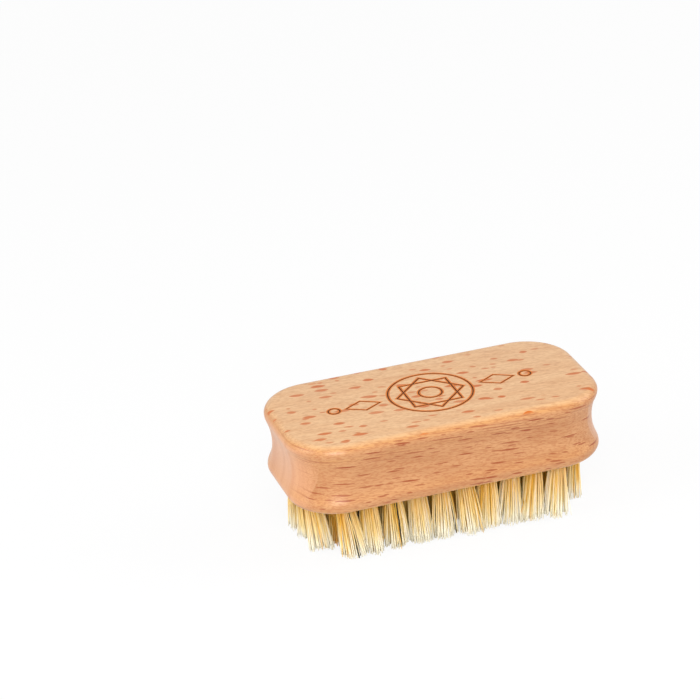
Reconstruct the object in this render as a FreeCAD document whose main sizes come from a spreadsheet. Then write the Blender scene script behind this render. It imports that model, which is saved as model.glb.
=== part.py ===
import FreeCAD, Part

import math
import os

import Sketcher
from FreeCAD import Vector

# Wooden nail brush with staple-set bristles, in millimetres.
# X runs along the block, Y across it and Z up. The trimmed bristle tips stand on Z = 0.

doc = FreeCAD.newDocument("nail_brush")

# Driving sizes
SIZES = {
    "block_length": 95.0,
    "block_width": 47.0,
    "block_height": 21.5,
    "corner_radius": 15.0,
    "top_lip_round": 2.7,
    "lower_lip_round": 2.7,
    "cove_radius": 19.0,
    "tuft_rows": 5,
    "row_tufts": 12,
    "outer_row_tufts": 10,
    "end_margin": 7.35,
    "side_margin": 8.5,
    "hole_wall": 2.3,
    "hole_depth": 10.0,
    "bundle_sides": 6,
    "bristle_length": 17.5,
    "tuft_clearance": 0.1,
    "tip_gap": 0.9,
    "fold_thickness": 1.6,
    "anchor_height": 2.0,
    "anchor_thickness": 0.35,
    "anchor_bite": 0.5,
    "anchor_clearance": 0.03,
}

sheet = doc.addObject("Spreadsheet::Sheet", "Sizes")
for line, (alias, value) in enumerate(SIZES.items(), start=1):
    sheet.set("A%d" % line, alias)
    sheet.set("B%d" % line, str(value))
    sheet.setAlias("B%d" % line, alias)
doc.recompute()

# Numbers that a sketch uses for the ends and centre of an edge, and for its origin
START, END, CENTRE = range(1, 4)
ORIGIN = (-1, START)

QUARTER_TURN = math.pi / 2
NOTHING = "0"

# The tufts keep the same margins inside the block, and their pitches follow from its size
TUFT_PITCH = "((Sizes.block_length - 2 * Sizes.end_margin) / (Sizes.row_tufts - 1))"
ROW_PITCH = "((Sizes.block_width - 2 * Sizes.side_margin) / (Sizes.tuft_rows - 1))"
NEAREST_PITCH = "min(%s; %s)" % (TUFT_PITCH, ROW_PITCH)
# The holes leave a wall of wood between neighbours
HOLE_RADIUS = "((%s - Sizes.hole_wall) / 2)" % NEAREST_PITCH
# Heights where the anchors sit
ANCHOR_TOP = "(Sizes.bristle_length + Sizes.hole_depth - Sizes.fold_thickness)"
ANCHOR_BOTTOM = "(%s - Sizes.anchor_height)" % ANCHOR_TOP
# An anchor is longer than its hole is wide, so that both ends bite into the wood
ANCHOR_LENGTH = "(2 * (%s + Sizes.anchor_bite))" % HOLE_RADIUS
# A tuft's fold stops just short of the end of its hole
FOLD_TOP = "(Sizes.bristle_length + Sizes.hole_depth - Sizes.tuft_clearance)"
# The radius of a tuft in the mouth of its hole, and at its tips, where neighbours keep a gap
ROOT_RADIUS = "(%s - Sizes.tuft_clearance)" % HOLE_RADIUS
TIP_RADIUS = "((%s - Sizes.tip_gap) / 2)" % NEAREST_PITCH
# The straight flare from the tips to the mouth runs on up to the fold
FLARE = "((%s - %s) / Sizes.bristle_length)" % (TIP_RADIUS, ROOT_RADIUS)
FOLD_RADIUS = "(%s - %s * %s)" % (TIP_RADIUS, FLARE, FOLD_TOP)
# Tufts and holes turn a flat side to each end of their anchor
SQUARE_TURN = "90 deg - 180 deg / Sizes.bundle_sides"


def size(expression):
    """The present value of an expression over the driving sizes."""
    return float(sheet.evalExpression(expression))


# The tuft field: a straight grid, its outer rows shorter to clear the rounded corners
ROWS_EACH_SIDE = round(size("Sizes.tuft_rows")) // 2
ROWS = range(-ROWS_EACH_SIDE, ROWS_EACH_SIDE + 1)


def tufts_in(row):
    outer = abs(row) == ROWS_EACH_SIDE
    return round(size("Sizes.outer_row_tufts" if outer else "Sizes.row_tufts"))


def tuft_x(row, index):
    """Where a tuft stands along the block, as an expression."""
    return "(%g * %s)" % (index - (tufts_in(row) - 1) / 2, TUFT_PITCH)


def tuft_y(row):
    """Where a row stands across the block, as an expression."""
    return "(%d * %s)" % (row, ROW_PITCH)


def spot(row, index):
    """The name of one place in the tuft field, counted from one."""
    return "row%d_%02d" % (row + ROWS_EACH_SIDE + 1, index + 1)


def drive(item, expressions):
    """Ties properties of an object to expressions."""
    for name, expression in expressions.items():
        item.setExpression(name, expression)


# Sketch helpers

def sketch_on(body, role, name):
    """A new sketch on one of a body's own origin planes."""
    sketch = body.newObject("Sketcher::SketchObject", name)
    origin_plane = next(item for item in body.Origin.OriginFeatures if item.Role == role)
    sketch.AttachmentSupport = (origin_plane, [""])
    sketch.MapMode = "FlatFace"
    return sketch


def bind(sketch, kind, places, expression):
    """Adds a measured constraint that follows an expression."""
    index = sketch.addConstraint(Sketcher.Constraint(kind, *places, size(expression)))
    sketch.setExpression("Constraints[%d]" % index, expression)


def add_arc(sketch, x, y, radius, start, end):
    circle = Part.Circle(Vector(x, y, 0), Vector(0, 0, 1), radius)
    return sketch.addGeometry(Part.ArcOfCircle(circle, start, end))


def add_line(sketch, first, second):
    return sketch.addGeometry(Part.LineSegment(Vector(*first, 0), Vector(*second, 0)))


def rounded_rectangle(sketch, length, width, radius):
    """An outline centred on the origin, its straight sides joined by tangent corner arcs."""
    arc_radius = size(radius)
    x = size(length) / 2 - arc_radius
    y = size(width) / 2 - arc_radius
    centres = ((x, y), (-x, y), (-x, -y), (x, -y))
    arcs = []
    for quarter, centre in enumerate(centres):
        start = quarter * QUARTER_TURN
        arcs.append(add_arc(sketch, *centre, arc_radius, start, start + QUARTER_TURN))
    top = add_line(sketch, (x, y + arc_radius), (-x, y + arc_radius))
    left = add_line(sketch, (-x - arc_radius, y), (-x - arc_radius, -y))
    bottom = add_line(sketch, (-x, -y - arc_radius), (x, -y - arc_radius))
    right = add_line(sketch, (x + arc_radius, -y), (x + arc_radius, y))
    for quarter, side in enumerate((top, left, bottom, right)):
        following = arcs[(quarter + 1) % len(arcs)]
        sketch.addConstraint(Sketcher.Constraint("Tangent", arcs[quarter], END, side, START))
        sketch.addConstraint(Sketcher.Constraint("Tangent", side, END, following, START))
    for arc in arcs[1:]:
        sketch.addConstraint(Sketcher.Constraint("Equal", arcs[0], arc))
    for side in (top, bottom):
        sketch.addConstraint(Sketcher.Constraint("Horizontal", side))
    for side in (left, right):
        sketch.addConstraint(Sketcher.Constraint("Vertical", side))
    bind(sketch, "Radius", (arcs[0],), radius)
    bind(sketch, "DistanceX", (*ORIGIN, right, START), "%s / 2" % length)
    bind(sketch, "DistanceX", (left, START, *ORIGIN), "%s / 2" % length)
    bind(sketch, "DistanceY", (*ORIGIN, top, START), "%s / 2" % width)
    bind(sketch, "DistanceY", (bottom, START, *ORIGIN), "%s / 2" % width)


# The block

def edge_section(body):
    """Section through the block's rim: lower lip, concave finger grip and top lip, all tangent."""
    sketch = sketch_on(body, "XZ_Plane", "edge_section")
    reach = size("Sizes.block_length / 2")
    height = size("Sizes.block_height")
    lower = size("Sizes.lower_lip_round")
    upper = size("Sizes.top_lip_round")
    hollow = size("Sizes.cove_radius")
    inner_x = size("(Sizes.block_length - Sizes.corner_radius) / 2")
    bottom = add_line(sketch, (inner_x, 0), (reach - lower, 0))
    lower_lip = add_arc(sketch, reach - lower, lower, lower, -QUARTER_TURN, 0)
    # the grip's arc bulges inwards, so it runs about the side that faces the block
    grip = add_arc(sketch, reach + hollow - upper, height / 2, hollow, 0.9 * math.pi, 1.1 * math.pi)
    top_lip = add_arc(sketch, reach - upper, height - upper, upper, 0, QUARTER_TURN)
    top = add_line(sketch, (reach - upper, height), (inner_x, height))
    inner = add_line(sketch, (inner_x, height), (inner_x, 0))
    sketch.addConstraint(Sketcher.Constraint("Horizontal", bottom))
    sketch.addConstraint(Sketcher.Constraint("Horizontal", top))
    sketch.addConstraint(Sketcher.Constraint("Vertical", inner))
    sketch.addConstraint(Sketcher.Constraint("Coincident", inner, END, bottom, START))
    sketch.addConstraint(Sketcher.Constraint("Coincident", top, END, inner, START))
    sketch.addConstraint(Sketcher.Constraint("PointOnObject", bottom, START, ORIGIN[0]))
    sketch.addConstraint(Sketcher.Constraint("Tangent", bottom, END, lower_lip, START))
    sketch.addConstraint(Sketcher.Constraint("Tangent", top_lip, END, top, START))
    bind(sketch, "Radius", (lower_lip,), "Sizes.lower_lip_round")
    bind(sketch, "Radius", (top_lip,), "Sizes.top_lip_round")
    bind(sketch, "DistanceX", (*ORIGIN, inner, START), "(Sizes.block_length - Sizes.corner_radius) / 2")
    bind(sketch, "DistanceX", (*ORIGIN, lower_lip, CENTRE), "Sizes.block_length / 2 - Sizes.lower_lip_round")
    bind(sketch, "DistanceX", (*ORIGIN, top_lip, CENTRE), "Sizes.block_length / 2 - Sizes.top_lip_round")
    bind(sketch, "DistanceY", (*ORIGIN, top, START), "Sizes.block_height")
    bind(sketch, "Radius", (grip,), "Sizes.cove_radius")
    sketch.addConstraint(Sketcher.Constraint("Tangent", grip, END, lower_lip, END))
    sketch.addConstraint(Sketcher.Constraint("Tangent", grip, START, top_lip, START))
    return sketch


def blank_block():
    """The block before drilling: a core, with its moulded rim swept round the outline."""
    body = doc.addObject("PartDesign::Body", "blank_block")
    body.setExpression("Placement.Base.z", "Sizes.bristle_length")

    core_outline = sketch_on(body, "XY_Plane", "core_outline")
    core_length = "(Sizes.block_length - Sizes.corner_radius)"
    core_width = "(Sizes.block_width - Sizes.corner_radius)"
    rounded_rectangle(core_outline, core_length, core_width, "Sizes.corner_radius / 2")
    core = body.newObject("PartDesign::Pad", "core")
    core.Profile = core_outline
    core.setExpression("Length", "Sizes.block_height")

    outline = sketch_on(body, "XY_Plane", "outline")
    rounded_rectangle(outline, "Sizes.block_length", "Sizes.block_width", "Sizes.corner_radius")
    section = edge_section(body)
    doc.recompute()
    rim = body.newObject("PartDesign::AdditivePipe", "rim")
    rim.Profile = section
    rim.Spine = outline
    return body


def hole(row, index):
    """The form of one blind hole. There are many, so each has a few flat sides, like its tuft."""
    bore = doc.addObject("Part::Prism", "hole_" + spot(row, index))
    drive(bore, {
        "Polygon": "Sizes.bundle_sides",
        "Circumradius": HOLE_RADIUS,
        "Height": "Sizes.hole_depth",
        "Placement.Base.x": tuft_x(row, index),
        "Placement.Base.y": tuft_y(row),
        "Placement.Base.z": "Sizes.bristle_length",
        "Placement.Rotation.Angle": SQUARE_TURN,
    })
    return bore


def blade(name, x, y, clearance):
    """A flat blade that crosses a hole where its anchor sits, with a clearance all round."""
    thickness = "(Sizes.anchor_thickness + 2 * %s)" % clearance
    length = "(%s + 2 * %s)" % (ANCHOR_LENGTH, clearance)
    plate = doc.addObject("Part::Box", name)
    drive(plate, {
        "Length": thickness,
        "Width": length,
        "Height": "Sizes.anchor_height + 2 * %s" % clearance,
        "Placement.Base.x": "%s - %s / 2" % (x, thickness),
        "Placement.Base.y": "%s - %s / 2" % (y, length),
        "Placement.Base.z": "%s - %s" % (ANCHOR_BOTTOM, clearance),
    })
    return plate


def group(name, members):
    """Separate solids kept together under one name."""
    compound = doc.addObject("Part::Compound", name)
    compound.Links = members
    return compound


def cut_away(name, base, tool):
    """A base with a tool cut out of it."""
    result = doc.addObject("Part::Cut", name)
    result.Base = base
    result.Tool = tool
    doc.recompute()
    if result.Shape.Volume >= base.Shape.Volume:
        raise RuntimeError("%s lost nothing to its cut" % name)
    return result


def brush_block(field):
    """The one-piece wooden block, drilled for the tufts and slit where the anchors bite."""
    holes = group("holes", [hole(row, index) for row, index in field])
    drilled_block = cut_away("drilled_block", blank_block(), holes)
    seats = []
    for row, index in field:
        name = "seat_" + spot(row, index)
        seats.append(blade(name, tuft_x(row, index), tuft_y(row), "Sizes.anchor_clearance"))
    return cut_away("brush_block", drilled_block, group("anchor_seats", seats))


# The tufts

def tuft_form():
    """One tuft: fibres folded over an anchor, filling the hole and flaring to trimmed tips."""
    sections = []
    for name, radius, height in (("tips", TIP_RADIUS, NOTHING), ("fold", FOLD_RADIUS, FOLD_TOP)):
        ring = doc.addObject("Part::RegularPolygon", "tuft_" + name)
        drive(ring, {
            "Polygon": "Sizes.bundle_sides",
            "Circumradius": radius,
            "Placement.Base.z": height,
            "Placement.Rotation.Angle": SQUARE_TURN,
        })
        sections.append(ring)
    bundle = doc.addObject("Part::Loft", "tuft_bundle")
    bundle.Sections = sections
    bundle.Solid = True
    bundle.Ruled = True
    bundle.Linearize = True

    gap = blade("tuft_gap", NOTHING, NOTHING, "Sizes.anchor_clearance")
    return cut_away("tuft_form", bundle, gap)


def tuft(form, row, index):
    """A copy of the tuft in one hole of the field."""
    body = doc.addObject("PartDesign::Body", "tuft_" + spot(row, index))
    fibres = body.newObject("PartDesign::FeatureBase", "fibres_" + spot(row, index))
    fibres.BaseFeature = form
    drive(body, {"Placement.Base.x": tuft_x(row, index), "Placement.Base.y": tuft_y(row)})
    return body


# The anchors

def tuft_anchors(field):
    """The flat metal anchors inside the folds of the tufts, as one group of separate blades."""
    anchors = []
    for row, index in field:
        anchors.append(blade("anchor_" + spot(row, index), tuft_x(row, index), tuft_y(row), NOTHING))
    return group("tuft_anchors", anchors)


# The assembly

field = [(row, index) for row in ROWS for index in range(tufts_in(row))]
form = tuft_form()
sub_parts = [brush_block(field), tuft_anchors(field)]
sub_parts.extend(tuft(form, row, index) for row, index in field)
doc.recompute()

for item in doc.Objects:
    if "Invalid" in item.State or "Error" in item.State:
        raise RuntimeError("%s could not be built" % item.Label)
for sub_part in sub_parts:
    if sub_part.Shape.isNull() or not sub_part.Shape.isValid():
        raise RuntimeError("%s has no sound shape" % sub_part.Label)

os.makedirs("parts", exist_ok=True)
for sub_part in sub_parts:
    sub_part.Shape.exportStep("parts/%s.step" % sub_part.Label)
print("%d sub-parts, %d tufts" % (len(sub_parts), len(field)))
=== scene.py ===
import math
import random
from collections import namedtuple

import bpy
from bpy.props import FloatProperty, FloatVectorProperty, IntProperty, PointerProperty
from mathutils import Matrix, Vector


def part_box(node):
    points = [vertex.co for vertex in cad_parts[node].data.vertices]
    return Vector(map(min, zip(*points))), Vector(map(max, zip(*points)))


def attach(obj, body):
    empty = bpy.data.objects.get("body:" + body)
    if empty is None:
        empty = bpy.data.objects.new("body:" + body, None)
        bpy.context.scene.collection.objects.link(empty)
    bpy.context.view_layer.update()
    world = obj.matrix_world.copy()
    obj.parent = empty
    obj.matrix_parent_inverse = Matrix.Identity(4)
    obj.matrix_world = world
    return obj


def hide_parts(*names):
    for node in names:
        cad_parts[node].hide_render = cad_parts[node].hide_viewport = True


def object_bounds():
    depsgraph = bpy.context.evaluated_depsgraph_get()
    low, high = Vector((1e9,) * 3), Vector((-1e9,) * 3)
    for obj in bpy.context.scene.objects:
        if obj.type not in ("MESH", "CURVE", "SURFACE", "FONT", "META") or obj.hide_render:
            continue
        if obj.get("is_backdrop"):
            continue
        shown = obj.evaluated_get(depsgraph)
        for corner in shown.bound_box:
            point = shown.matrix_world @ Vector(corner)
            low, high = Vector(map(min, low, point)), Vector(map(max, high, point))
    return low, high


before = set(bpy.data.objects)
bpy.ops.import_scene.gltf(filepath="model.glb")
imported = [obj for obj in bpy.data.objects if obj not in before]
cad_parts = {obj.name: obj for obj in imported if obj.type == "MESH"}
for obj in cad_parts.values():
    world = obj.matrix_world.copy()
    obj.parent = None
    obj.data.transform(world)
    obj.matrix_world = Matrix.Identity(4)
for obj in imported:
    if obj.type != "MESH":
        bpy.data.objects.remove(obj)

bl_info = {
    "name": "Wooden Nail Brush",
    "version": (1, 0, 0),
    "blender": (4, 5, 0),
    "location": "View3D > Sidebar > Nail Brush",
    "description": "A beech nail brush with plant-fibre tufts, dressed on its CAD frame",
    "category": "Object",
}

MM = 0.001
CAD_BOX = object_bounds()
BLOCK_LOW, BLOCK_HIGH = (Vector(corner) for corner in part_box("brush_block"))
TUFT_NODES = sorted(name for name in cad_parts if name.startswith("tuft_row"))
ANCHOR_NODE = "tuft_anchors"
ANCHOR_LOW, ANCHOR_HIGH = (Vector(corner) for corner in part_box(ANCHOR_NODE))

# The picture is square, this many pixels on a side, and the camera has a full-frame sensor
PICTURE = 700
SENSOR = 36.0

WHITE = (1, 1, 1)


def tuft_centre(node):
    """The middle of a tuft, seen from above."""
    low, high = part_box(node)
    return (low[0] + high[0]) / 2, (low[1] + high[1]) / 2


# How far out the furthest tufts stand, along the block and across it
FIELD_EDGE = [max(abs(tuft_centre(node)[axis]) for node in TUFT_NODES) for axis in (0, 1)]


# Settings

def srgb(red, green, blue):
    """A colour given in 8-bit screen values, as linear light."""
    def linear(value):
        value /= 255
        return value / 12.92 if value <= 0.04045 else ((value + 0.055) / 1.055) ** 2.4
    return linear(red), linear(green), linear(blue)


def length(name, description, default):
    return FloatProperty(name=name, description=description, default=default, unit="LENGTH")


def angle(name, description, degrees):
    return FloatProperty(name=name, description=description, default=math.radians(degrees), unit="ROTATION")


def colour(name, description, red, green, blue):
    return FloatVectorProperty(
        name=name, description=description, default=srgb(red, green, blue), subtype="COLOR", min=0, max=1)


def share(name, description, default):
    return FloatProperty(name=name, description=description, default=default, min=0, max=1, subtype="FACTOR")


def power(name, description, watts):
    return FloatProperty(name=name, description=description, default=watts, min=0, unit="POWER")


def count(name, description, default):
    return IntProperty(name=name, description=description, default=default, min=1)


class BlockSettings(bpy.types.PropertyGroup):
    corner_radius: length("Corner radius", "Radius of the outline's corners", 15.0 * MM)
    top_lip: length("Top lip", "Rounding of the edge of the top", 2.7 * MM)
    lower_lip: length("Lower lip", "Rounding of the edge of the underside", 2.7 * MM)
    cove: length("Finger grip", "Radius of the hollow that runs round the sides", 19.0 * MM)
    crease: length("Corner flats", "Depth of the two flats that meet in a crease on each corner", 0.38 * MM)
    hole_diameter: length("Hole diameter", "Diameter of a tuft's hole", 5.0 * MM)
    hole_depth: length("Hole depth", "Depth of a tuft's hole", 10.0 * MM)
    line_width: length("Engraved line", "Width of the ornament's engraved lines", 0.42 * MM)
    line_depth: length("Engraving depth", "Depth of the ornament's engraved lines", 0.3 * MM)
    singed_width: length("Singed edge", "Width over which the wood is singed along a line", 1.15 * MM)
    singed_depth: length("Singed depth", "Depth to which the singed wood has sunk", 0.05 * MM)
    star: length("Star", "Distance of the star's points from its middle", 10.2 * MM)
    outer_ring: length("Outer ring", "Radius of the ring round the star", 12.4 * MM)
    inner_ring: length("Inner ring", "Radius of the ring inside the star", 3.4 * MM)
    lozenge_place: length("Lozenge place", "Distance of the lozenges from the star's middle", 20.6 * MM)
    lozenge: length("Lozenge", "Half the length of a lozenge", 5.2 * MM)
    ring_place: length("Small ring place", "Distance of the small rings from the star's middle", 29.4 * MM)
    ring: length("Small ring", "Radius of a small ring", 1.7 * MM)
    face: colour("Top wood", "Wood on the flat top", 223, 180, 132)
    face_shade: colour("Top shade", "Darker streaks in the wood on the flat top", 208, 154, 103)
    # The side wood and its streaks are set darker than the top wood: partly the long grain's more orange
    # tone, partly painted shade on the sides
    side: colour("Side wood", "Wood on the long sides", 194, 142, 95)
    lip: colour("Lip", "Wood on the rounded edges", 206, 148, 86)
    side_shade: colour("Side shade", "Darker streaks in the wood on the long sides", 170, 115, 71)
    end: colour("End grain", "Wood on the ends", 208, 153, 111)
    end_shade: colour("Growth rings", "Darker bands in the end grain", 195, 134, 93)
    fleck: colour("Flecks", "Short flecks that beech shows along its grain", 190, 94, 4)
    speckle: colour("Speckle", "Fine short lines along the grain", 164, 94, 48)
    dash: colour("Dashes", "Thin dark dashes along the sides", 146, 66, 24)
    burnt: colour("Engraving", "Scorched wood in the engraved lines", 104, 54, 24)
    singed: colour("Singed wood", "Wood beside the engraved lines", 206, 118, 48)


class TuftSettings(bpy.types.PropertyGroup):
    seed: IntProperty(name="Seed", description="Seed of the fibres' scatter", default=23, min=0)
    folded: count("Folded fibres", "Fibres in a tuft, each folded double", 100)
    clumps: count("Clumps", "Clumps that a tuft parts into at its tips", 9)
    thickness: length("Fibre thickness", "Usual thickness of a fibre", 0.28 * MM)
    anchor: length("Anchor thickness", "Thickness of the anchor that the fibres are folded over", 0.35 * MM)
    root: length("Root radius", "Radius of a tuft where it leaves its hole", 2.3 * MM)
    splay: length("Splay", "How far a tuft's edge flares out towards its tips", 1.45 * MM)
    lean: length("Lean", "How far the tips of the tufts at the ends lean inwards", 1.8 * MM)
    bow: length("Bow", "Usual sideways bow of a fibre", 0.14 * MM)
    wave: length("Wave", "Usual sideways wave of a fibre", 0.05 * MM)
    # Tufts inside the field are painted warmer, fully at this depth: painted shade among the tufts
    sheltered: length("Sheltered depth", "How far inside the field's edge a tuft is fully sheltered", 5 * MM)
    painted_shade_warmth: share("Shelter", "How much warmer sheltered tufts are than those at the field's edge", 0.45)
    dark_share: share("Dark fibres", "Share of dark fibres", 0.012)
    stray_share: share("Strays", "Share of fibres that stand out from their tuft", 0.025)
    through: share("Light let through", "Share of the light that passes through a fibre near its root", 0.5)
    pale: colour("Pale fibre", "The palest fibres", 255, 249, 226)
    straw: colour("Straw fibre", "Most fibres", 254, 232, 164)
    ochre: colour("Ochre fibre", "The warmest fibres", 240, 198, 82)
    amber: colour("Light through", "Light that has passed through a fibre", 255, 210, 80)
    dark: colour("Dark fibre", "The few dark fibres", 40, 34, 28)


class AnchorSettings(bpy.types.PropertyGroup):
    steel: colour("Steel", "Bare steel of the anchors", 178, 178, 172)


class StageSettings(bpy.types.PropertyGroup):
    azimuth: angle("Azimuth", "Turn of the camera round the brush", -17.014)
    elevation: angle("Elevation", "Height of the camera above the horizon", 25.037)
    roll: angle("Roll", "Tilt of the camera", -3.649)
    distance: length("Distance", "Distance of the camera from the block's centre", 0.8389)
    scale: FloatProperty(name="Scale", description="Picture pixels to a metre at the block", default=3435.0)
    centre: FloatVectorProperty(
        name="Centre", description="Where the block's centre falls in the picture, in pixels from its middle",
        size=2, default=(82.0, -75.22))
    floor: colour("Floor", "Floor and backdrop", 242, 242, 242)
    glow: share("Floor glow", "How far the floor is lifted to white where the camera sees it", 0.9)
    near: length("Shadowed floor", "How far from the brush the floor starts to turn to pure white", 0.15)
    far: length("White floor", "How far from the brush the floor is pure white", 0.9)
    front_lamp: power("Front lamp", "Power of the lamp in front of the brush", 7.4)
    left_lamp: power("Left lamp", "Power of the lamp on the left of the brush", 4.4)
    right_lamp: power("Right lamp", "Power of the lamp on the right of the brush", 3.8)
    ambient: share("Ambient", "Strength of the even light from all round", 0.5)


class NailBrushSettings(bpy.types.PropertyGroup):
    block: PointerProperty(type=BlockSettings)
    tufts: PointerProperty(type=TuftSettings)
    anchors: PointerProperty(type=AnchorSettings)
    stage: PointerProperty(type=StageSettings)


# Shading

class Value:
    """A shader socket that takes part in arithmetic: each operation adds a Math node."""

    def __init__(self, finish, socket):
        self.finish = finish
        self.socket = socket

    def math(self, operation, first, second=0.0):
        inputs = {"Value": first, "Value_001": second}
        return self.finish.value("ShaderNodeMath", {"operation": operation}, inputs)

    def __add__(self, other):
        return self.math("ADD", self, other)

    def __radd__(self, other):
        return self.math("ADD", other, self)

    def __sub__(self, other):
        return self.math("SUBTRACT", self, other)

    def __rsub__(self, other):
        return self.math("SUBTRACT", other, self)

    def __mul__(self, other):
        return self.math("MULTIPLY", self, other)

    def __rmul__(self, other):
        return self.math("MULTIPLY", other, self)

    def __truediv__(self, other):
        return self.math("DIVIDE", self, other)

    def __rtruediv__(self, other):
        return self.math("DIVIDE", other, self)

    def __abs__(self):
        return self.math("ABSOLUTE", self)

    def spread(self, low, high):
        """A value from 0 to 1 stretched over a range."""
        return self * (high - low) + low

    def rise(self, low, high):
        """0 below the low value and 1 above the high one, with a smooth step between."""
        settings = {"interpolation_type": "SMOOTHSTEP"}
        inputs = {"Value": self, "From Min": low, "From Max": high}
        return self.finish.value("ShaderNodeMapRange", settings, inputs, "Result")


class Nodes:
    """A node tree, to which nodes are added one by one."""

    def __init__(self, tree):
        self.tree = tree

    def node(self, kind, settings, inputs):
        """Adds a node: first its settings, then the values or links of its sockets."""
        node = self.tree.nodes.new(kind)
        for name, value in settings.items():
            setattr(node, name, value)
        for name, value in inputs.items():
            self.feed(node, name, value)
        return node

    def feed(self, node, name, value):
        socket = next(item for item in node.inputs if item.identifier == name)
        if isinstance(value, Value):
            self.tree.links.new(value.socket, socket)
        elif isinstance(value, bpy.types.NodeSocket):
            self.tree.links.new(value, socket)
        elif socket.type == "RGBA":
            socket.default_value = (*value, 1)
        else:
            socket.default_value = value

    def value(self, kind, settings, inputs, output="Value"):
        return Value(self, self.node(kind, settings, inputs).outputs[output])

    def mix(self, factor, first, second):
        """One colour laid over another."""
        settings = {"data_type": "RGBA"}
        inputs = {"Factor_Float": factor, "A_Color": first, "B_Color": second}
        node = self.node("ShaderNodeMix", settings, inputs)
        return next(item for item in node.outputs if item.identifier == "Result_Color")

    def position(self):
        """Where a point lies on the object, in millimetres along the block, across it and up it."""
        place = self.node("ShaderNodeTexCoord", {}, {}).outputs["Object"]
        inputs = {"Vector": place, "Scale": 1 / MM}
        return self.split(self.node("ShaderNodeVectorMath", {"operation": "SCALE"}, inputs).outputs["Vector"])

    def split(self, vector):
        """The three parts of a vector."""
        node = self.node("ShaderNodeSeparateXYZ", {}, {"Vector": vector})
        return [Value(self, node.outputs[axis]) for axis in "XYZ"]

    def join(self, x, y, z):
        return self.node("ShaderNodeCombineXYZ", {}, {"X": x, "Y": y, "Z": z}).outputs["Vector"]

    def noise(self, place, grain):
        """Soft noise from 0 to 1, in lumps of the size that the grain gives."""
        vector = self.join(*(part / size for part, size in zip(place, grain.lump)))
        inputs = {"Vector": vector, "Scale": 1.0, "Detail": grain.detail, "Roughness": grain.roughness}
        return self.value("ShaderNodeTexNoise", {"normalize": True}, inputs, "Fac")

    def seen(self):
        """1 on rays that show a surface to the camera or in a gloss, 0 on those that light other things."""
        rays = self.node("ShaderNodeLightPath", {}, {})
        kinds = ("Is Camera Ray", "Is Glossy Ray", "Is Transmission Ray")
        return sum(Value(self, rays.outputs[kind]) for kind in kinds)

    def blend(self, factor, first, second):
        """One shader laid over another."""
        inputs = {"Fac": factor, "Shader": first, "Shader_001": second}
        return self.node("ShaderNodeMixShader", {}, inputs).outputs["Shader"]


class Finish(Nodes):
    """A material with one principled shader."""

    def __init__(self, name):
        self.material = bpy.data.materials.new(name)
        self.material.use_nodes = True
        super().__init__(self.material.node_tree)
        self.shader = self.tree.nodes["Principled BSDF"]

    def bump(self, height, strength, distance):
        inputs = {"Height": height, "Strength": strength, "Distance": distance}
        self.feed(self.shader, "Normal", self.node("ShaderNodeBump", {}, inputs).outputs["Normal"])

    def set(self, **inputs):
        """Sets sockets of the principled shader, spaces written as underscores."""
        for name, value in inputs.items():
            self.feed(self.shader, name.replace("_", " "), value)
        return self.material

    def cover(self, factor, second):
        """Lays a second shader over the principled one."""
        output = self.tree.nodes["Material Output"]
        self.feed(output, "Surface", self.blend(factor, self.shader.outputs["BSDF"], second))
        return self.material


# A noise: the size of its lumps in millimetres along the block, across it and up it, its detail, its
# roughness and the values between which its marks fade in
Grain = namedtuple("Grain", "lump detail roughness fade", defaults=(None,))
WANDER = Grain((34, 11, 11), 1.0, 0.5)
CLOUDS = Grain((42, 3.6, 3.6), 3.0, 0.55, (0.32, 0.72))
STREAKS = Grain((22, 1.5, 0.7), 3.0, 0.65, (0.45, 0.72))
THREADS = Grain((14, 0.6, 0.45), 2.0, 0.6, (0.5, 0.66))
SPECKLES = Grain((1.6, 0.45, 0.35), 1.0, 0.5, (0.46, 0.62))
RINGS = Grain((60, 2.4, 45), 2.0, 0.6, (0.35, 0.7))
SOOT = Grain((1, 1, 1), 3.0, 0.6)
FIBRE_STREAKS = Grain((0.12, 0.12, 3.5), 2.0, 0.6)
SCRATCHES = Grain((0.05, 3, 0.05), 2.0, 0.6)
PAPER = Grain((1, 1, 1), 2.0, 0.5)

# The middle of a noise from 0 to 1
MIDDLE = 0.5

# Lens-shaped flecks: the start and the size of their cells and half the size of a usual fleck, in millimetres
# along the grain and across it, the share of the cells that hold one, and how strongly they show
Flecks = namedtuple("Flecks", "start cell half kept strength")
LARGE_FLECKS = Flecks((0, 0), (8.5, 3.9), (2.0, 0.8), 0.5, 1.0)
SMALL_FLECKS = Flecks((41, 17), (6.2, 2.8), (1.2, 0.46), 0.3, 0.8)
SHORT_DASHES = Flecks((71, 29), (6.0, 1.4), (1.4, 0.18), 0.32, 0.9)
LONG_DASHES = Flecks((13, 0), (10.0, 1.8), (2.6, 0.24), 0.46, 1.0)
# The hairlines are partly grain lines, partly painted shade under the top lip's overhang
LIP_SHADE_HAIRLINES = Flecks((29, 53), (24.0, 1.0), (7.5, 0.17), 0.6, 0.6)

# Flecks differ in length and depth by these factors, and their edge and the choice of cells are a little soft
FLECK_LENGTHS = (0.6, 1.4)
FLECK_DEPTHS = (0.75, 1.05)
FLECK_EDGE = 0.1
CHOICE_EDGE = 0.02

# Upright parts of the normal between which wood turns flat, upward or rounded, and lengthwise ones between
# which it turns endward
FLAT = (0.55, 0.995)
UPWARD = (0.5, 0.75)
ROUNDED = (0.15, 0.65)
ENDWARD = (0.62, 1.0)

# How far the grain climbs across and up for each millimetre along the block, and wanders, in millimetres
CLIMB_ACROSS = 0.13
CLIMB_UP = 0.07
WANDER_ACROSS = 1.8
WANDER_UP = 1.2

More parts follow.
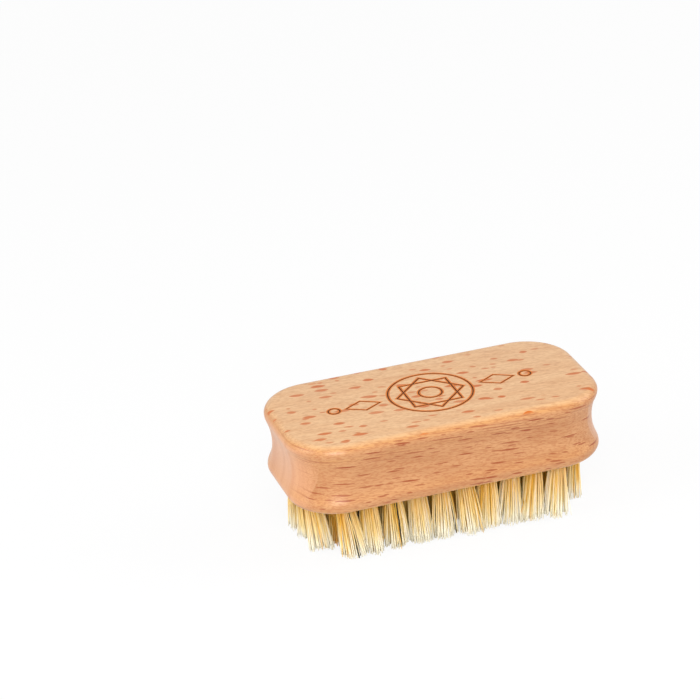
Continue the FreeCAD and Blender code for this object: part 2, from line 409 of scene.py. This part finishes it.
# How strongly each mark shows in the wood
TOP_CLOUDS = 0.5
SIDE_CLOUDS = 0.6
END_RINGS = 0.7
LIP_TINT = 0.75
STREAK_MARKS = 0.3
THREAD_MARKS = 0.26
SIDE_SPECKLES = 0.36
END_SPECKLES = 0.1

# What the ends lack of the lip's tint, and the top of the marks and of the speckles
ENDS_LACK_TINT = 0.4
TOP_LACKS_MARKS = 0.3
TOP_LACKS_SPECKLES = 0.6

# Hairlines, partly grain lines and partly painted shade under the top lip, fade out between these depths
# below the top, in millimetres
LIP_SHADE_DEPTHS = (5.5, 9.0)

# How far streaks and speckles stand up from the wood and flecks lie sunk, each as a share of the bump
GRAIN_RELIEF = 0.5
FLECK_RELIEF = 0.3

# Roughness of the smoothest wood, and what streaks and speckles add
WOOD_ROUGHNESS = 0.2
STREAK_ROUGHNESS = 0.16
SPECKLE_ROUGHNESS = 0.12

# Changes of a fibre's tone, which runs from 0, pale, to 1, ochre: by its streaks, at its root and at its tip
STREAK_TONE = 0.4
# The warmth at the root is partly painted shade under the block
ROOT_TONE_AND_SHADE = 0.37
TIP_TONE = 0.98

# Tones between which a fibre turns from pale to straw and to ochre, counts as an inner one, and as a dark one
STRAW_TONES = (0.0, 0.5)
OCHRE_TONES = (0.5, 1.0)
INNER_TONES = (0.6, 1.0)
DARK_TONES = (1.4, 1.6)


def shaded(tint, factor):
    """A colour made deeper or paler."""
    return tuple(value * factor for value in tint)


def lens_flecks(finish, along, across, flecks):
    """Lens-shaped flecks that lie along the grain, a random share of the cells holding one."""
    cell_length, cell_width = flecks.cell
    half_length, half_width = flecks.half
    start_along, start_across = flecks.start
    place = finish.join((along + start_along) / cell_length, (across + start_across) / cell_width, 0.0)
    settings = {"voronoi_dimensions": "2D"}
    cells = finish.node("ShaderNodeTexVoronoi", settings, {"Vector": place, "Scale": 1.0})
    inputs = {"Vector": place, "Vector_001": cells.outputs["Position"]}
    away = finish.node("ShaderNodeVectorMath", {"operation": "SUBTRACT"}, inputs).outputs["Vector"]
    away_along, away_across, _ = finish.split(away)
    chance = finish.node("ShaderNodeSeparateColor", {}, {"Color": cells.outputs["Color"]})
    stretch = Value(finish, chance.outputs["Red"]).spread(*FLECK_LENGTHS)
    keep = Value(finish, chance.outputs["Green"]).rise(1 - flecks.kept, 1 - flecks.kept + CHOICE_EDGE)
    depth = Value(finish, chance.outputs["Blue"]).spread(*FLECK_DEPTHS)
    along_lens = away_along * (cell_length / half_length) / stretch
    across_lens = abs(away_across) * (cell_width / half_width)
    body = 1 - along_lens * along_lens - across_lens
    return body.rise(0.0, FLECK_EDGE) * keep * depth * flecks.strength


def beech_finish(settings):
    """Oiled beech: flecked on the flat top, dashed along the sides, ringed on the ends."""
    finish = Finish("beech")
    x, y, z = finish.position()
    face_x, _, face_z = finish.split(finish.node("ShaderNodeTexCoord", {}, {}).outputs["Normal"])
    flat = abs(face_z).rise(*FLAT)
    upward = abs(face_z).rise(*UPWARD)
    endward = abs(face_x).rise(*ENDWARD)
    lengthwise = 1 - endward * (1 - flat)
    sideways = lengthwise * (1 - upward)

    # The grain runs a little askew to the block, and wanders
    wander = finish.noise((x, y, z), WANDER) - MIDDLE
    grain_y = y + x * CLIMB_ACROSS + wander * WANDER_ACROSS
    grain_z = z + x * CLIMB_UP + wander * WANDER_UP
    clouds, streaks, threads, speckles = (
        finish.noise((x, grain_y, grain_z), grain) for grain in (CLOUDS, STREAKS, THREADS, SPECKLES))
    rings = finish.noise((x, y, z), RINGS).rise(*RINGS.fade)

    clouds = clouds.rise(*CLOUDS.fade)
    top = finish.mix(clouds * TOP_CLOUDS, settings.face[:], settings.face_shade[:])
    # the long sides' wood, darker than the top's, is partly painted shade
    side = finish.mix(clouds * SIDE_CLOUDS, settings.side[:], settings.side_shade[:])
    end = finish.mix(rings * END_RINGS, settings.end[:], settings.end_shade[:])
    rounded = abs(face_z).rise(*ROUNDED) * (1 - endward * ENDS_LACK_TINT)
    wood = finish.mix(rounded * LIP_TINT, finish.mix(endward, side, end), settings.lip[:])
    wood = finish.mix(flat, wood, top)

    # Streaks, threads and speckles lie over all of it, flecks on the top and dashes along the sides
    marked = lengthwise * (1 - flat * TOP_LACKS_MARKS)
    speckled = END_SPECKLES + SIDE_SPECKLES * lengthwise * (1 - flat * TOP_LACKS_SPECKLES)
    # the hairlines lie only just under the top lip: partly grain, partly painted shade under its overhang
    lip_shade_band = 1 - (BLOCK_HIGH.z / MM - z).rise(*LIP_SHADE_DEPTHS)
    large = lens_flecks(finish, x, grain_y, LARGE_FLECKS)
    layers = (
        (streaks.rise(*STREAKS.fade) * STREAK_MARKS * marked, settings.speckle),
        (threads.rise(*THREADS.fade) * THREAD_MARKS * marked, settings.speckle),
        (speckles.rise(*SPECKLES.fade) * speckled, settings.speckle),
        (large * upward, settings.fleck),
        (lens_flecks(finish, x, grain_y, SMALL_FLECKS) * upward, settings.fleck),
        (lens_flecks(finish, x, grain_z, SHORT_DASHES) * sideways, settings.dash),
        (lens_flecks(finish, x, grain_z, LONG_DASHES) * sideways, settings.dash),
        (lens_flecks(finish, x, grain_z, LIP_SHADE_HAIRLINES) * lip_shade_band * sideways, settings.dash))
    for cover, tint in layers:
        wood = finish.mix(cover, wood, tint[:])
    roughness = WOOD_ROUGHNESS + streaks * STREAK_ROUGHNESS + speckles * SPECKLE_ROUGHNESS
    relief = (streaks + speckles) * GRAIN_RELIEF - large * FLECK_RELIEF
    finish.bump(relief, strength=0.25, distance=0.1 * MM)
    return finish.set(Base_Color=wood, Roughness=roughness, Specular_IOR_Level=0.5)


def engraving_finish(name, tint):
    """Scorched wood, sooty in patches."""
    finish = Finish(name)
    soot = finish.noise(finish.position(), SOOT)
    finish.bump(soot, strength=0.3, distance=0.1 * MM)
    scorched = finish.mix(soot, shaded(tint, 0.7), shaded(tint, 1.3))
    return finish.set(Base_Color=scorched, Roughness=soot.spread(0.75, 0.95))


def fibre_finish(settings):
    """Dried plant fibre that lets some light through, each with its tone, streaked and paler at its tip;
    warmer deep in the tufts as painted shade, and at its root partly so.
    """
    finish = Finish("plant_fibre")
    tone = finish.value("ShaderNodeAttribute", {"attribute_name": "tone"}, {}, "Fac")
    reach = finish.value("ShaderNodeAttribute", {"attribute_name": "reach"}, {}, "Fac")
    streak = finish.noise(finish.position(), FIBRE_STREAKS)
    # the tone holds painted shade deep in the tufts, and the warmth at the root is partly painted shade
    tone_with_shade = tone + (streak - MIDDLE) * STREAK_TONE + ROOT_TONE_AND_SHADE - reach * reach * TIP_TONE
    dark = tone.rise(*DARK_TONES)
    fibre = finish.mix(tone_with_shade.rise(*STRAW_TONES), settings.pale[:], settings.straw[:])
    fibre = finish.mix(tone_with_shade.rise(*OCHRE_TONES), fibre, settings.ochre[:])
    fibre = finish.mix(dark, fibre, settings.dark[:])
    finish.bump(streak, strength=0.3, distance=0.04 * MM)
    finish.set(Base_Color=fibre, Roughness=streak.spread(0.4, 0.6), Specular_IOR_Level=0.25)

    # Light passes through near the root, and all along the inner fibres
    through = finish.node("ShaderNodeBsdfTranslucent", {}, {"Color": settings.amber[:]}).outputs["BSDF"]
    outer_reach = reach * (1 - tone.rise(*INNER_TONES))
    return finish.cover((1 - dark) * (1 - outer_reach) * settings.through, through)


def steel_finish(settings):
    """Bare drawn steel, brushed along the blade."""
    finish = Finish("anchor_steel")
    scratches = finish.noise(finish.position(), SCRATCHES)
    brushed = finish.mix(scratches, settings.steel[:], shaded(settings.steel, 0.75))
    return finish.set(Base_Color=brushed, Metallic=1.0, Roughness=scratches.spread(0.28, 0.53))


def floor_finish(settings):
    """A white floor that the camera sees bright, with the shadow of the brush left in it."""
    finish = Finish("white_floor")
    place = finish.position()
    paper = finish.mix(finish.noise(place, PAPER), settings.floor[:], shaded(settings.floor, 0.95))
    finish.set(Base_Color=paper, Roughness=0.9, Specular_IOR_Level=0.0)
    glow = finish.node("ShaderNodeEmission", {}, {"Color": WHITE, "Strength": 1.0}).outputs["Emission"]
    x, y, _ = place
    near, far = ((distance / MM) ** 2 for distance in (settings.near, settings.far))
    away = (x * x + y * y).rise(near, far)
    return finish.cover(finish.seen() * (settings.glow + (1 - settings.glow) * away), glow)


# Meshes

# Steps along a lip, the finger grip and each flat of a corner
LIP_STEPS = 12
COVE_STEPS = 24
FLAT_STEPS = 14

# Shares of the block's height between which the creases on its corners fade in, and fade out again
CREASE_IN = (0.09, 0.31)
CREASE_OUT = (0.78, 0.9)

# A crease's turn from the long side, in degrees, at shares of the block's height
CREASE_LINE = ((0.0, 60), (0.17, 54), (0.4, 44), (0.5, 40), (0.69, 37), (1.0, 31))

# Sides of the outlines that are cut into the block
HOLE_SIDES = 24
RING_SIDES = 72
SMALL_RING_SIDES = 32
SQUARE_SIDES = 4

# A lozenge's width as a share of its length
LOZENGE_WIDTH = 0.6

# The angle from which an edge of the block shades as a sharp one
SHARP_EDGE = math.radians(9.5)


def fade(value, low, high):
    """0 at the low value and 1 at the high one, even between them and level beyond."""
    return min(max((value - low) / (high - low), 0.0), 1.0)


def show(mesh, name):
    """Puts a mesh in the scene as an object."""
    item = bpy.data.objects.new(name, mesh)
    bpy.context.scene.collection.objects.link(item)
    return item


def new_mesh(name, points, faces):
    mesh = bpy.data.meshes.new(name)
    mesh.from_pydata(points, [], faces)
    if mesh.validate():
        raise RuntimeError("%s has faulty faces" % name)
    mesh.polygons.foreach_set("use_smooth", [True] * len(mesh.polygons))
    return mesh


def rim_section(settings, height):
    """Inset and height of points up the rim: lower lip, hollow finger grip and top lip, all tangent."""
    low = Vector((settings.lower_lip, settings.lower_lip))
    high = Vector((settings.top_lip, height - settings.top_lip))
    low_reach = settings.cove + settings.lower_lip
    high_reach = settings.cove + settings.top_lip
    between = high - low
    apart = between.length
    along = (apart ** 2 + low_reach ** 2 - high_reach ** 2) / (2 * apart)
    aside = math.sqrt(low_reach ** 2 - along ** 2)
    outward = Vector((-between.y, between.x)) / apart
    hollow = low + between / apart * along + outward * aside

    def arc(centre, radius, start, end, steps):
        for step in range(steps + 1):
            turn = start + (end - start) * step / steps
            yield centre + radius * Vector((math.cos(turn), math.sin(turn)))

    from_low = math.atan2(hollow.y - low.y, hollow.x - low.x) % (2 * math.pi)
    from_high = math.atan2(hollow.y - high.y, hollow.x - high.x) % (2 * math.pi)
    points = list(arc(low, settings.lower_lip, 1.5 * math.pi, from_low, LIP_STEPS))
    points += list(arc(hollow, settings.cove, from_low - math.pi, from_high - math.pi, COVE_STEPS))[1:]
    points += list(arc(high, settings.top_lip, from_high, 0.5 * math.pi, LIP_STEPS))[1:]
    return points


def crease_at(rise):
    """How strong the corner's crease is, and its turn from the long side, at a share of the height."""
    strength = fade(rise, *CREASE_IN) * (1 - fade(rise, *CREASE_OUT))
    for (low, first), (high, second) in zip(CREASE_LINE, CREASE_LINE[1:]):
        if rise <= high:
            break
    turn = math.radians(first + (second - first) * (rise - low) / (high - low))
    return strength, turn


def block_outline(settings, half, inset, rise):
    """The outline of the block at one height, with two faint flats that meet on each corner."""
    strength, crease = crease_at(rise)
    reach_x = half.x - settings.corner_radius
    reach_y = half.y - settings.corner_radius
    points = []
    for quarter in range(4):
        flip = quarter % 2 == 0
        sign_x = 1 if quarter in (0, 3) else -1
        sign_y = 1 if quarter in (0, 1) else -1
        centre = Vector((sign_x * reach_x, sign_y * reach_y))
        for step in range(-FLAT_STEPS, FLAT_STEPS + 1):
            # turn is counted from the normal of the long side, towards the end of the block
            part = (-step if flip else step) / FLAT_STEPS
            span = crease if part < 0 else 0.5 * math.pi - crease
            turn = crease + part * span
            flat = strength * settings.crease * math.sin(math.pi * abs(part))
            radius = settings.corner_radius - inset - flat
            points.append(centre + radius * Vector((sign_x * math.sin(turn), sign_y * math.cos(turn))))
    return points


def rim_mesh(settings):
    """The block before drilling and engraving."""
    size = BLOCK_HIGH - BLOCK_LOW
    half = Vector((size.x / 2, size.y / 2))
    section = rim_section(settings, size.z)
    points = []
    for inset, height in section:
        for place in block_outline(settings, half, inset, height / size.z):
            points.append((place.x, place.y, BLOCK_LOW.z + height))
    around = len(points) // len(section)
    faces = [tuple(reversed(range(around)))]
    for level in range(len(section) - 1):
        for step in range(around):
            following = (step + 1) % around
            base = level * around
            faces.append((base + step, base + following, base + around + following, base + around + step))
    faces.append(tuple(range(len(points) - around, len(points))))
    return new_mesh("beech_block", points, faces)


def prism(outlines, low, high):
    """Points and faces of upright prisms; an outline is a loop, or an outer and an inner loop."""
    points = []
    faces = []
    for outer, inner in outlines:
        sides = len(outer)
        first = len(points)
        loops = [(outer, low), (outer, high)]
        if inner:
            loops += [(inner, high), (inner, low)]
        for loop, height in loops:
            points.extend((x, y, height) for x, y in loop)
        for side in range(sides):
            following = (side + 1) % sides
            for level in range(len(loops) if inner else 1):
                base = first + level * sides
                above = first + (level + 1) % len(loops) * sides
                faces.append((base + side, base + following, above + following, above + side))
        if not inner:
            faces.append(tuple(reversed(range(first, first + sides))))
            faces.append(tuple(range(first + sides, first + 2 * sides)))
    return points, faces


def polygon(x, y, radius, sides, start=0.0, squash=1.0):
    """A regular polygon's corners, optionally squashed across the block."""
    turns = (start + 2 * math.pi * side / sides for side in range(sides))
    return [(x + radius * math.cos(turn), y + squash * radius * math.sin(turn)) for turn in turns]


def line_loop(x, y, radius, sides, width, start=0.0, squash=1.0):
    """The outer and inner edge of an engraved closed line."""
    inset = width / 2 / math.cos(math.pi / sides)
    outer = polygon(x, y, radius + inset, sides, start, squash)
    inner = polygon(x, y, radius - inset, sides, start, squash)
    return outer, inner


def carve(item, name, outlines, low, high, material):
    """Cuts upright prisms out of a piece."""
    tool = show(new_mesh(name, *prism(outlines, low, high)), name)
    tool.data.materials.append(material)
    modifier = item.modifiers.new(name, "BOOLEAN")
    modifier.operation = "DIFFERENCE"
    modifier.solver = "EXACT"
    modifier.material_mode = "TRANSFER"
    modifier.object = tool
    bpy.context.view_layer.update()
    carved = bpy.data.meshes.new_from_object(item.evaluated_get(bpy.context.evaluated_depsgraph_get()))
    item.modifiers.clear()
    plain = item.data
    item.data = carved
    bpy.data.meshes.remove(plain)
    bpy.data.meshes.remove(tool.data)


# How much tufts differ from each other: their flare as a factor, the step of their tips, their trim and tone
TUFT_FLARES = (0.75, 1.2)
TUFT_STEP = 0.55 * MM
TUFT_TRIM = 0.3 * MM
TUFT_TONE = 0.05

# How much the clumps of a tuft differ, and how far their middles lie apart as a share of the root's radius
CLUMP_STEP = 0.4 * MM
CLUMP_TRIM = 0.4 * MM
CLUMP_TONE = 0.1
CLUMP_SPREAD = 0.6

# How much single fibres differ, where they leave the hole and at their tips, and their thickness as a factor
ROOT_STEP = 0.06 * MM
FIBRE_STEP = 0.22 * MM
FIBRE_TRIM = 0.16 * MM
FIBRE_TONE = 0.2
FIBRE_THICKNESS = (0.75, 1.25)

# How far strays stand out and how much shorter they may be, and the most that is ever trimmed off a fibre
STRAY_STEP = 1.6 * MM
STRAY_TRIM = 2.5 * MM
MOST_TRIM = 4 * MM

# Tips keep this share of the fibre's thickness off the floor
TIP_CLEAR = 0.1

# The tone of most fibres, and of dark ones, which are thicker by a factor
USUAL_TONE = 0.5
DARK_TONE = 2.0
DARK_THICKNESS = 1.5

# Fibres this deep in their tuft have its usual tone, and deeper ones are painted warmer at this rate, as
# painted shade inside the tuft
USUAL_DEPTH = 0.3
DEPTH_SHADE_TONE = 0.5

# Turning each root on by this part of a half circle spreads them evenly over half a hole
GOLDEN_PART = (math.sqrt(5) - 1) / 2

# Folds clear the anchor's top by this much and its sides by this share of their thickness, and crown at the
# first share of the room above it in the middle of a tuft and the second share more at its edge
FOLD_RISE = 0.15 * MM
FOLD_CLEAR = 0.6
CROWN_LEAST = 0.25
CROWN_MORE = 0.6

# Steps down a leg, how early it splays, and the half waves of its waviness
LEG_STEPS = 6
SPLAY_POWER = 0.85
LEG_WAVES = 2.6


def scatter(rng, spread):
    """A random step across the tufts."""
    return Vector((rng.gauss(0, spread), rng.gauss(0, spread)))


def strand_leg(rng, settings, root, tip):
    """Points down one leg of a folded fibre, from its hole to its trimmed tip, with a slight bow."""
    bow = scatter(rng, settings.bow).to_3d()
    wave = scatter(rng, settings.wave).to_3d()
    for step in range(LEG_STEPS + 1):
        part = step / LEG_STEPS
        place = root.lerp(tip, part)
        place.xy = root.xy.lerp(tip.xy, part ** SPLAY_POWER)
        yield place + bow * math.sin(math.pi * part) + wave * math.sin(LEG_WAVES * math.pi * part)


class Strands:
    """The points, faces, bake map and tones of a tuft's fibres, added one fibre at a time; the tones hold
    painted shade deep in the tufts.
    """

    SIDES = 5

    # A tip is thinner than the root by this share
    TAPER = 0.2

    # Shares of a strip of the bake map that are left free at its sides and at its ends
    SIDE_MARGIN = 0.1
    END_MARGIN = 0.02

    def __init__(self, total):
        self.total = total
        self.added = 0
        self.points = []
        self.faces = []
        self.map = []
        self.values = {"tone": [], "reach": []}

    def add(self, path, thickness, tones, reaches):
        """A round strand along a path, thinner where it reaches its tips, mapped to an upright strip."""
        first = len(self.points)
        rings = len(path)
        sides = self.SIDES
        for ring, (place, tone, reach) in enumerate(zip(path, tones, reaches)):
            ahead = path[min(ring + 1, rings - 1)] - path[max(ring - 1, 0)]
            aside = ahead.cross(Vector((0.0, 1.0, 0.0))).normalized()
            over = aside.cross(ahead).normalized()
            radius = thickness / 2 * (1 - self.TAPER * reach)
            for side in range(sides):
                turn = 2 * math.pi * side / sides
                self.points.append(place + radius * (math.cos(turn) * aside + math.sin(turn) * over))
            self.values["tone"].extend([tone] * sides)
            self.values["reach"].extend([reach] * sides)
        spans = rings - 1
        for ring in range(spans):
            base = first + ring * sides
            above = base + sides
            for side in range(sides):
                following = (side + 1) % sides
                self.faces.append((base + side, above + side, above + following, base + following))
                corners = ((side, ring), (side, ring + 1), (side + 1, ring + 1), (side + 1, ring))
                self.map.extend(self.on_strip(across / sides, along / spans) for across, along in corners)
        last = first + spans * sides
        self.faces.append(tuple(range(first, first + sides)))
        self.faces.append(tuple(reversed(range(last, last + sides))))
        for end in (0, 1):
            self.map.extend(self.on_strip(side / sides, end) for side in range(sides))
        self.added += 1

    def on_strip(self, across, along):
        """A place on the strip of the strand that is being added, in the bake map."""
        inside_across = self.SIDE_MARGIN + (1 - 2 * self.SIDE_MARGIN) * across
        inside_along = self.END_MARGIN + (1 - 2 * self.END_MARGIN) * along
        return (self.added + inside_across) / self.total, inside_along

    def mesh(self, name):
        mesh = new_mesh(name, self.points, self.faces)
        for label, values in self.values.items():
            mesh.attributes.new(label, "FLOAT", "POINT").data.foreach_set("value", values)
        layer = mesh.uv_layers.new(name="OFBake")
        layer.uv.foreach_set("vector", [value for corner in self.map for value in corner])
        return mesh


def tuft_mesh(name, node, settings, rng):
    """One tuft: fibres folded double over an anchor, filling the hole and splaying to ragged tips."""
    centre = Vector(tuft_centre(node))
    mouth = BLOCK_LOW.z
    anchor_top = ANCHOR_HIGH.z + FOLD_RISE
    fold_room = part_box(node)[1][2] - anchor_top
    flare = 1 + settings.splay / settings.root * rng.uniform(*TUFT_FLARES)
    lean = Vector((-settings.lean * centre.x / BLOCK_HIGH.x, 0)) + scatter(rng, TUFT_STEP)
    trim = abs(rng.gauss(0, TUFT_TRIM))
    inward = min(edge - abs(place) for edge, place in zip(FIELD_EDGE, centre))
    # tufts further inside the field are painted warmer: painted shade among the tufts
    tuft_warmth_and_shade = rng.gauss(USUAL_TONE, TUFT_TONE) + settings.painted_shade_warmth * fade(inward, 0, settings.sheltered)
    clumps = []
    for _ in range(settings.clumps):
        shift = scatter(rng, CLUMP_STEP)
        short = abs(rng.gauss(0, CLUMP_TRIM))
        middle = scatter(rng, settings.root * CLUMP_SPREAD)
        clumps.append((middle, shift, short, rng.gauss(tuft_warmth_and_shade, CLUMP_TONE)))

    def leg(offset, thickness, depth):
        """Points down one leg, from its place in the hole to its nearest clump's tips, and its tone, painted
        warmer deep in the tuft as shade.
        """
        _, shift, short, tone = min(clumps, key=lambda clump: (clump[0] - offset).length)
        stray = rng.random() < settings.stray_share
        across = centre + offset * flare + lean + shift + scatter(rng, STRAY_STEP if stray else FIBRE_STEP)
        height = trim + short + rng.expovariate(1 / FIBRE_TRIM)
        if stray:
            height += rng.uniform(0, STRAY_TRIM)
        root = Vector((*(centre + offset + scatter(rng, ROOT_STEP)), mouth))
        tip = Vector((*across, min(height, MOST_TRIM) + thickness * TIP_CLEAR))
        points = list(strand_leg(rng, settings, root, tip))
        # fibres deep in the tuft are painted warmer: painted shade inside the tuft
        return points, rng.gauss(tone, FIBRE_TONE) + (depth - USUAL_DEPTH) * DEPTH_SHADE_TONE

    strands = Strands(settings.folded)
    for strand in range(settings.folded):
        # roots fill the half of the hole on each side of the anchor, the fibres further in painted warmer as
        # shade
        spread = math.sqrt((strand + 0.5) / settings.folded)
        turn = (strand * GOLDEN_PART % 1.0 - 0.5) * math.pi
        offset = settings.root * spread * Vector((math.cos(turn), math.sin(turn)))
        dark = rng.random() < settings.dark_share
        thickness = settings.thickness * (DARK_THICKNESS if dark else rng.uniform(*FIBRE_THICKNESS))
        depth = 1 - spread
        left, left_tone = leg(Vector((-offset.x, offset.y)), thickness, depth)
        right, right_tone = leg(offset, thickness, depth)
        beside = max(offset.x, settings.anchor / 2 + FOLD_CLEAR * thickness)
        crown = anchor_top + fold_room * (CROWN_LEAST + CROWN_MORE * spread)
        fold = []
        low = ANCHOR_LOW.z
        for x, height in ((-1, low), (-1, anchor_top), (0, crown), (1, anchor_top), (1, low)):
            fold.append(Vector((centre.x + x * beside, centre.y + offset.y, height)))
        path = left[::-1] + fold + right
        reaches = [fade(mouth - place.z, 0, mouth - CAD_BOX[0][2]) for place in path]
        tones = [left_tone] * len(left) + [tuft_warmth_and_shade] * len(fold) + [right_tone] * len(right)
        if dark:
            tones = [DARK_TONE] * len(path)
        strands.add(path, thickness, tones, reaches)
    return strands.mesh(name)


# Operators

# The floor's half width, and where the lamps hang and how wide they are, in metres
FLOOR_REACH = 3.0
FRONT_LAMP = ((-0.25, -0.82, 0.53), 0.65)
LEFT_LAMP = ((-0.9, -0.1, 0.47), 0.7)
RIGHT_LAMP = ((0.85, -0.2, 0.53), 0.7)


def settings_of(context):
    return context.scene.nail_brush


class NAILBRUSH_OT_block(bpy.types.Operator):
    """Models the beech block, drilled, engraved and finished"""
    bl_idname = "nail_brush.block"
    bl_label = "Beech block"

    def execute(self, context):
        settings = settings_of(context).block
        block = show(rim_mesh(settings), "beech_block")
        wood = beech_finish(settings)
        block.data.materials.append(wood)
        holes = []
        for node in TUFT_NODES:
            holes.append((polygon(*tuft_centre(node), settings.hole_diameter / 2, HOLE_SIDES), None))
        low = BLOCK_LOW.z
        carve(block, "holes", holes, low - MM, low + settings.hole_depth, wood)
        singed = engraving_finish("singed_wood", settings.singed)
        burnt = engraving_finish("engraved_lines", settings.burnt)
        cuts = (
            (settings.singed_width, settings.singed_depth, singed),
            (settings.line_width, settings.line_depth, burnt))
        for width, depth, material in cuts:
            for lines in self.ornament(settings, width):
                carve(block, "engraving", lines, BLOCK_HIGH.z - depth, BLOCK_HIGH.z + MM, material)
        block.data.set_sharp_from_angle(angle=SHARP_EDGE)
        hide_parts("brush_block")
        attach(block, "root")
        return {"FINISHED"}

    def ornament(self, settings, width):
        """Groups of lines that don't cross: each square of a star, then the rings and lozenges."""
        for start in (0, math.pi / 4):
            yield [line_loop(0, 0, settings.star, SQUARE_SIDES, width, start)]
        lines = []
        for radius in (settings.outer_ring, settings.inner_ring):
            lines.append(line_loop(0, 0, radius, RING_SIDES, width))
        for side in (-1, 1):
            place = side * settings.lozenge_place
            lines.append(line_loop(place, 0, settings.lozenge, SQUARE_SIDES, width, squash=LOZENGE_WIDTH))
            lines.append(line_loop(side * settings.ring_place, 0, settings.ring, SMALL_RING_SIDES, width))
        yield lines


class NAILBRUSH_OT_tufts(bpy.types.Operator):
    """Models every tuft from folded plant fibres"""
    bl_idname = "nail_brush.tufts"
    bl_label = "Fibre tufts"

    def execute(self, context):
        settings = settings_of(context).tufts
        rng = random.Random(settings.seed)
        fibre = fibre_finish(settings)
        for node in TUFT_NODES:
            name = node.replace("tuft", "fibres")
            tuft = show(tuft_mesh(name, node, settings, rng), name)
            tuft.data.materials.append(fibre)
            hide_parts(node)
            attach(tuft, "root")
        return {"FINISHED"}


class NAILBRUSH_OT_anchors(bpy.types.Operator):
    """Finishes the anchors in bare steel"""
    bl_idname = "nail_brush.anchors"
    bl_label = "Steel anchors"

    def execute(self, context):
        steel = steel_finish(settings_of(context).anchors)
        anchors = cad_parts[ANCHOR_NODE]
        for place in anchors.material_slots:
            place.material = steel
        return {"FINISHED"}


class NAILBRUSH_OT_stage(bpy.types.Operator):
    """Sets the floor, the soft studio light and the camera"""
    bl_idname = "nail_brush.stage"
    bl_label = "Studio stage"

    def execute(self, context):
        settings = settings_of(context).stage
        scene = context.scene
        scene.view_settings.view_transform = "Standard"
        self.add_floor(settings)
        self.add_light("front", *FRONT_LAMP, settings.front_lamp)
        self.add_light("left", *LEFT_LAMP, settings.left_lamp)
        self.add_light("right", *RIGHT_LAMP, settings.right_lamp)
        self.light_world(scene, settings)
        scene.camera = self.add_camera(settings)
        return {"FINISHED"}

    def add_floor(self, settings):
        signs = ((-1, -1), (1, -1), (1, 1), (-1, 1))
        corners = [(x * FLOOR_REACH, y * FLOOR_REACH, 0) for x, y in signs]
        floor = show(new_mesh("floor", corners, [(0, 1, 2, 3)]), "floor")
        floor.data.materials.append(floor_finish(settings))
        floor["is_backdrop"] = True

    def add_light(self, name, place, size, watts):
        lamp = bpy.data.lights.new(name, "AREA")
        lamp.shape = "DISK"
        lamp.size = size
        lamp.energy = watts
        item = bpy.data.objects.new(name, lamp)
        item.location = place
        aim = (BLOCK_LOW + BLOCK_HIGH) / 2 - item.location
        item.rotation_euler = aim.to_track_quat("-Z", "Y").to_euler()
        bpy.context.scene.collection.objects.link(item)

    def light_world(self, scene, settings):
        """Even light from all round, and a white backdrop where the camera sees past the floor."""
        world = bpy.data.worlds.new("studio")
        world.use_nodes = True
        scene.world = world
        nodes = Nodes(world.node_tree)
        shines = []
        for strength in (settings.ambient, 1.0):
            inputs = {"Color": WHITE, "Strength": strength}
            shines.append(nodes.node("ShaderNodeBackground", {}, inputs).outputs["Background"])
        output = world.node_tree.nodes["World Output"]
        nodes.feed(output, "Surface", nodes.blend(nodes.seen(), *shines))

    def add_camera(self, settings):
        """The photograph's view: the block's centre at its place in the picture, at its size."""
        turn, tilt = settings.azimuth, settings.elevation
        back = Vector((math.sin(turn) * math.cos(tilt), -math.cos(turn) * math.cos(tilt), math.sin(tilt)))
        level = Vector((math.cos(turn), math.sin(turn), 0))
        upright = back.cross(level)
        right = math.cos(settings.roll) * level + math.sin(settings.roll) * upright
        up = math.cos(settings.roll) * upright - math.sin(settings.roll) * level
        across, above = (pixels / settings.scale for pixels in settings.centre)
        centre = (BLOCK_LOW + BLOCK_HIGH) / 2
        place = centre + settings.distance * back - across * right - above * up
        data = bpy.data.cameras.new("camera")
        data.sensor_width = SENSOR
        data.lens = settings.scale * settings.distance / PICTURE * SENSOR
        data.clip_start = 0.01
        camera = bpy.data.objects.new("camera", data)
        axes = Matrix((right, up, back)).transposed().to_4x4()
        camera.matrix_world = Matrix.Translation(place) @ axes
        bpy.context.scene.collection.objects.link(camera)
        return camera


class NAILBRUSH_PT_panel(bpy.types.Panel):
    """The nail brush's pieces and their settings"""
    bl_idname = "NAILBRUSH_PT_panel"
    bl_label = "Nail Brush"
    bl_space_type = "VIEW_3D"
    bl_region_type = "UI"
    bl_category = "Nail Brush"

    def draw(self, context):
        settings = settings_of(context)
        groups = (settings.block, settings.tufts, settings.anchors, settings.stage)
        for operator, group in zip(OPERATORS, groups):
            box = self.layout.box()
            box.operator(operator.bl_idname)
            for name in group.__annotations__:
                box.prop(group, name)


GROUPS = (BlockSettings, TuftSettings, AnchorSettings, StageSettings, NailBrushSettings)
OPERATORS = (NAILBRUSH_OT_block, NAILBRUSH_OT_tufts, NAILBRUSH_OT_anchors, NAILBRUSH_OT_stage)
CLASSES = (*GROUPS, *OPERATORS, NAILBRUSH_PT_panel)


def register():
    for item in CLASSES:
        bpy.utils.register_class(item)
    bpy.types.Scene.nail_brush = PointerProperty(type=NailBrushSettings)


def unregister():
    del bpy.types.Scene.nail_brush
    for item in reversed(CLASSES):
        bpy.utils.unregister_class(item)


def main():
    register()
    bpy.ops.nail_brush.block()
    bpy.ops.nail_brush.tufts()
    bpy.ops.nail_brush.anchors()
    bpy.ops.nail_brush.stage()
    sizes = {"cad": CAD_BOX, "visual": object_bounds()}
    {name: [list(corner) for corner in box] for name, box in sizes.items()}


if __name__ == "__main__":
    main()
